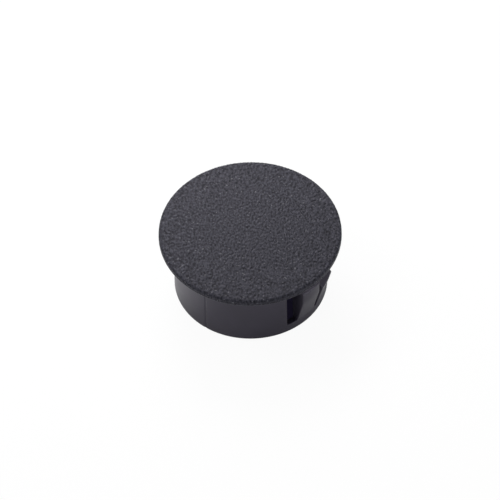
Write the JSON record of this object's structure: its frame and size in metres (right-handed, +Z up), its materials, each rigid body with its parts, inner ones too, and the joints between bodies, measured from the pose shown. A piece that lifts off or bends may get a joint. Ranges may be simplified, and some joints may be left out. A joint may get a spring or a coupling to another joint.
{
  "type": "plastic hole plug",
  "caption": "Round snap-in hole plug: a thin textured disc head on a hollow skirt, with tall and short snap fingers in opposite windows.",
  "frame": {"origin": "centre of the skirt's bottom edge, on the axis", "axes": "+Z up the axis to the head; the two windows with the snap fingers face +X and -X"},
  "size_m": [0.0262, 0.0262, 0.0111],
  "materials": {
    "black_nylon": "fine spark texture on the head's top, smooth satin elsewhere"
  },
  "bodies": {
    "root": {"hole_plug": "black_nylon"}
  },
  "joints": []
}
